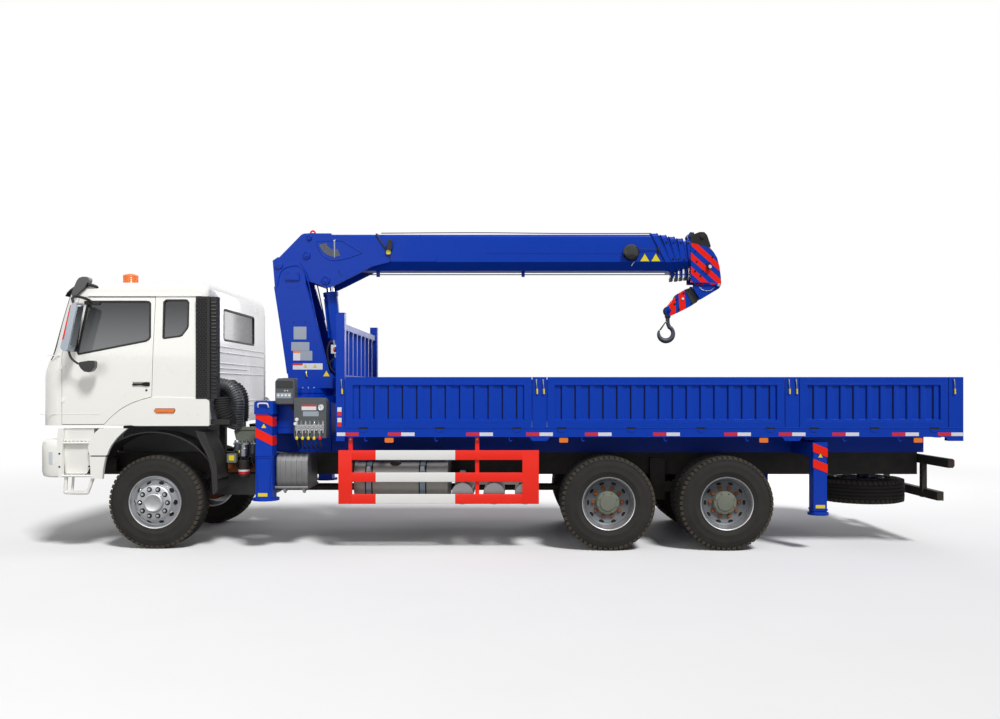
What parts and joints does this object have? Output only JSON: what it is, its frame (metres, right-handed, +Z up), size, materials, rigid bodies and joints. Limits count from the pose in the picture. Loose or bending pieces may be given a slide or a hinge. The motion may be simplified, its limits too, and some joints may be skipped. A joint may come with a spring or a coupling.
{
  "type": "truck-mounted telescopic crane",
  "caption": "Cab-over lorry with a telescopic straight-boom crane behind the cab, outriggers and a dropside load bed.",
  "frame": {"origin": "on the ground under the middle of the overall length and width", "axes": "+Z up, -Y forwards (the cab end), +X to the vehicle's left"},
  "size_m": [3, 10.58, 3.88],
  "materials": {
    "blue_paint": "gloss",
    "white_paint": "gloss",
    "black_paint": "satin",
    "tyre_rubber": "matte",
    "red_paint": "gloss",
    "grey_paint": "satin",
    "bare_steel": "satin",
    "black_plastic": "matte",
    "window_glass": "clear",
    "cast_hook": "satin",
    "aluminium_sheet": "satin"
  },
  "bodies": {
    "chassis": {"chassis_frame": "black_paint", "front_axle": "black_paint", "rear_axles": "black_paint", "engine": "black_paint", "fuel_tank": "aluminium_sheet", "air_tanks": "grey_paint", "battery_box": "black_paint", "silencer": "aluminium_sheet", "side_guard_left": "red_paint", "side_guard_right": "red_paint", "front_bumper": "white_paint", "spare_wheel": "tyre_rubber", "rear_bumper": "black_paint", "bed_deck": "blue_paint", "headboard": "blue_paint", "crane_base": "blue_paint", "rear_outriggers": "blue_paint", "control_station": "grey_paint"},
    "cab": {"cab_shell": "white_paint", "windscreen": "window_glass", "rear_window": "window_glass", "cab_interior": "grey_paint", "air_intake": "black_plastic", "sun_visor": "black_plastic"},
    "left_door": {"door_left": "white_paint", "door_glass_left": "window_glass"},
    "right_door": {"door_right": "white_paint", "door_glass_right": "window_glass"},
    "front_left_board": {"front_side_board_left": "blue_paint"},
    "front_right_board": {"front_side_board_right": "blue_paint"},
    "middle_left_board": {"middle_side_board_left": "blue_paint"},
    "middle_right_board": {"middle_side_board_right": "blue_paint"},
    "rear_left_board": {"rear_side_board_left": "blue_paint"},
    "rear_right_board": {"rear_side_board_right": "blue_paint"},
    "tailgate": {"tailgate": "blue_paint"},
    "left_knuckle": {"knuckle_left": "black_paint"},
    "front_left_wheel": {"front_wheel_left": "tyre_rubber"},
    "right_knuckle": {"knuckle_right": "black_paint"},
    "front_right_wheel": {"front_wheel_right": "tyre_rubber"},
    "first_rear_left_wheel": {"first_rear_wheel_left": "tyre_rubber"},
    "first_rear_right_wheel": {"first_rear_wheel_right": "tyre_rubber"},
    "second_rear_left_wheel": {"second_rear_wheel_left": "tyre_rubber"},
    "second_rear_right_wheel": {"second_rear_wheel_right": "tyre_rubber"},
    "left_outrigger": {"outrigger_beam_left": "blue_paint"},
    "front_left_jack": {"front_jack_left": "blue_paint"},
    "rear_left_jack": {"rear_jack_left": "blue_paint"},
    "right_outrigger": {"outrigger_beam_right": "blue_paint"},
    "front_right_jack": {"front_jack_right": "blue_paint"},
    "rear_right_jack": {"rear_jack_right": "blue_paint"},
    "column": {"crane_column": "blue_paint"},
    "boom": {"boom_base": "blue_paint"},
    "luff_cylinder": {"luff_cylinder": "blue_paint"},
    "luff_rod": {"luff_rod": "bare_steel"},
    "section_2": {"boom_section_2": "blue_paint"},
    "section_3": {"boom_section_3": "blue_paint"},
    "section_4": {"boom_section_4": "blue_paint"},
    "section_5": {"boom_section_5": "blue_paint"},
    "stow_arm": {"stow_arm": "blue_paint"},
    "hook_block": {"hook_block": "blue_paint"},
    "hook": {"hook": "cast_hook"}
  },
  "joints": [
    {"name": "cab_tilt", "type": "hinge", "parent": "chassis", "child": "cab", "pos_m": [0, -5.05, 1.15], "axis": [1, 0, 0], "range_deg": [0, 45]},
    {"name": "left_door_hinge", "type": "hinge", "parent": "cab", "child": "left_door", "pos_m": [1.24, -4.984, 2.2], "axis": [0, 0, -1], "range_deg": [0, 70]},
    {"name": "right_door_hinge", "type": "hinge", "parent": "cab", "child": "right_door", "pos_m": [-1.24, -4.984, 2.2], "axis": [0, 0, 1], "range_deg": [0, 70]},
    {"name": "front_left_board_hinge", "type": "hinge", "parent": "chassis", "child": "front_left_board", "pos_m": [1.256, -0.69, 1.4151], "axis": [0, 1, 0], "range_deg": [0, 175]},
    {"name": "front_right_board_hinge", "type": "hinge", "parent": "chassis", "child": "front_right_board", "pos_m": [-1.256, -0.69, 1.4151], "axis": [0, -1, 0], "range_deg": [0, 175]},
    {"name": "middle_left_board_hinge", "type": "hinge", "parent": "chassis", "child": "middle_left_board", "pos_m": [1.256, 1.9, 1.4151], "axis": [0, 1, 0], "range_deg": [0, 175]},
    {"name": "middle_right_board_hinge", "type": "hinge", "parent": "chassis", "child": "middle_right_board", "pos_m": [-1.256, 1.9, 1.4151], "axis": [0, -1, 0], "range_deg": [0, 175]},
    {"name": "rear_left_board_hinge", "type": "hinge", "parent": "chassis", "child": "rear_left_board", "pos_m": [1.256, 4.27, 1.4151], "axis": [0, 1, 0], "range_deg": [0, 175]},
    {"name": "rear_right_board_hinge", "type": "hinge", "parent": "chassis", "child": "rear_right_board", "pos_m": [-1.256, 4.27, 1.4151], "axis": [0, -1, 0], "range_deg": [0, 175]},
    {"name": "tailgate_hinge", "type": "hinge", "parent": "chassis", "child": "tailgate", "pos_m": [0, 5.296, 1.4151], "axis": [-1, 0, 0], "range_deg": [0, 175]},
    {"name": "left_steer", "type": "hinge", "parent": "chassis", "child": "left_knuckle", "pos_m": [0.9, -3.975, 0.54], "axis": [0, 0, 1], "range_deg": [-35, 35]},
    {"name": "front_left_wheel_spin", "type": "hinge", "parent": "left_knuckle", "child": "front_left_wheel", "pos_m": [0.97, -3.975, 0.54], "axis": [1, 0, 0], "continuous": true},
    {"name": "right_steer", "type": "hinge", "parent": "chassis", "child": "right_knuckle", "pos_m": [-0.9, -3.975, 0.54], "axis": [0, 0, 1], "range_deg": [-35, 35]},
    {"name": "front_right_wheel_spin", "type": "hinge", "parent": "right_knuckle", "child": "front_right_wheel", "pos_m": [-0.97, -3.975, 0.54], "axis": [1, 0, 0], "continuous": true},
    {"name": "first_rear_left_wheel_spin", "type": "hinge", "parent": "chassis", "child": "first_rear_left_wheel", "pos_m": [0.925, 1.25, 0.54], "axis": [1, 0, 0], "continuous": true},
    {"name": "first_rear_right_wheel_spin", "type": "hinge", "parent": "chassis", "child": "first_rear_right_wheel", "pos_m": [-0.925, 1.25, 0.54], "axis": [1, 0, 0], "continuous": true},
    {"name": "second_rear_left_wheel_spin", "type": "hinge", "parent": "chassis", "child": "second_rear_left_wheel", "pos_m": [0.925, 2.6, 0.54], "axis": [1, 0, 0], "continuous": true},
    {"name": "second_rear_right_wheel_spin", "type": "hinge", "parent": "chassis", "child": "second_rear_right_wheel", "pos_m": [-0.925, 2.6, 0.54], "axis": [1, 0, 0], "continuous": true},
    {"name": "left_outrigger_slide", "type": "slide", "parent": "chassis", "child": "left_outrigger", "axis": [1, 0, 0], "range_m": [0, 1.5]},
    {"name": "front_left_jack_slide", "type": "slide", "parent": "left_outrigger", "child": "front_left_jack", "axis": [0, 0, -1], "range_m": [0, 0.57]},
    {"name": "rear_left_jack_slide", "type": "slide", "parent": "chassis", "child": "rear_left_jack", "axis": [0, 0, -1], "range_m": [0, 0.405]},
    {"name": "right_outrigger_slide", "type": "slide", "parent": "chassis", "child": "right_outrigger", "axis": [-1, 0, 0], "range_m": [0, 1.5]},
    {"name": "front_right_jack_slide", "type": "slide", "parent": "right_outrigger", "child": "front_right_jack", "axis": [0, 0, -1], "range_m": [0, 0.57]},
    {"name": "rear_right_jack_slide", "type": "slide", "parent": "chassis", "child": "rear_right_jack", "axis": [0, 0, -1], "range_m": [0, 0.405]},
    {"name": "slew", "type": "hinge", "parent": "chassis", "child": "column", "pos_m": [0, -2.4, 1.8], "axis": [0, 0, 1], "continuous": true},
    {"name": "luff", "type": "hinge", "parent": "column", "child": "boom", "pos_m": [0, -2.768, 3.398], "axis": [1, 0, 0], "range_deg": [0, 75]},
    {"name": "luff_cylinder_swing", "type": "hinge", "parent": "column", "child": "luff_cylinder", "pos_m": [0, -2.06, 1.96], "axis": [1, 0, 0], "range_deg": [0, 5.37]},
    {"name": "luff_rod_slide", "type": "slide", "parent": "luff_cylinder", "child": "luff_rod", "axis": [0, -0.103, 0.9947], "range_m": [0, 0.7262]},
    {"name": "extend_2", "type": "slide", "parent": "boom", "child": "section_2", "axis": [0, 1, 0], "range_m": [0, 3.4]},
    {"name": "extend_3", "type": "slide", "parent": "section_2", "child": "section_3", "axis": [0, 1, 0], "range_m": [0, 3.4]},
    {"name": "extend_4", "type": "slide", "parent": "section_3", "child": "section_4", "axis": [0, 1, 0], "range_m": [0, 3.4]},
    {"name": "extend_5", "type": "slide", "parent": "section_4", "child": "section_5", "axis": [0, 1, 0], "range_m": [0, 3.4]},
    {"name": "stow_arm_pivot", "type": "hinge", "parent": "section_5", "child": "stow_arm", "pos_m": [0, 2.763, 3.164], "axis": [1, 0, 0], "range_deg": [0, 63]},
    {"name": "hoist", "type": "slide", "parent": "stow_arm", "child": "hook_block", "axis": [0, -0.8942, -0.4478], "range_m": [0, 0.9]},
    {"name": "hook_swing", "type": "hinge", "parent": "hook_block", "child": "hook", "pos_m": [0, 2.146, 2.848], "axis": [1, 0, 0], "range_deg": [-60, 60]}
  ],
  "couplings": [
    {"joint": "right_steer", "follows": "left_steer", "ratio": 1},
    {"joint": "luff_cylinder_swing", "follows": "luff", "ratio": 0.06887},
    {"joint": "luff_rod_slide", "follows": "luff", "m_per_rad": 0.55328},
    {"joint": "extend_3", "follows": "extend_2", "ratio": 1},
    {"joint": "extend_4", "follows": "extend_2", "ratio": 1},
    {"joint": "extend_5", "follows": "extend_2", "ratio": 1}
  ]
}
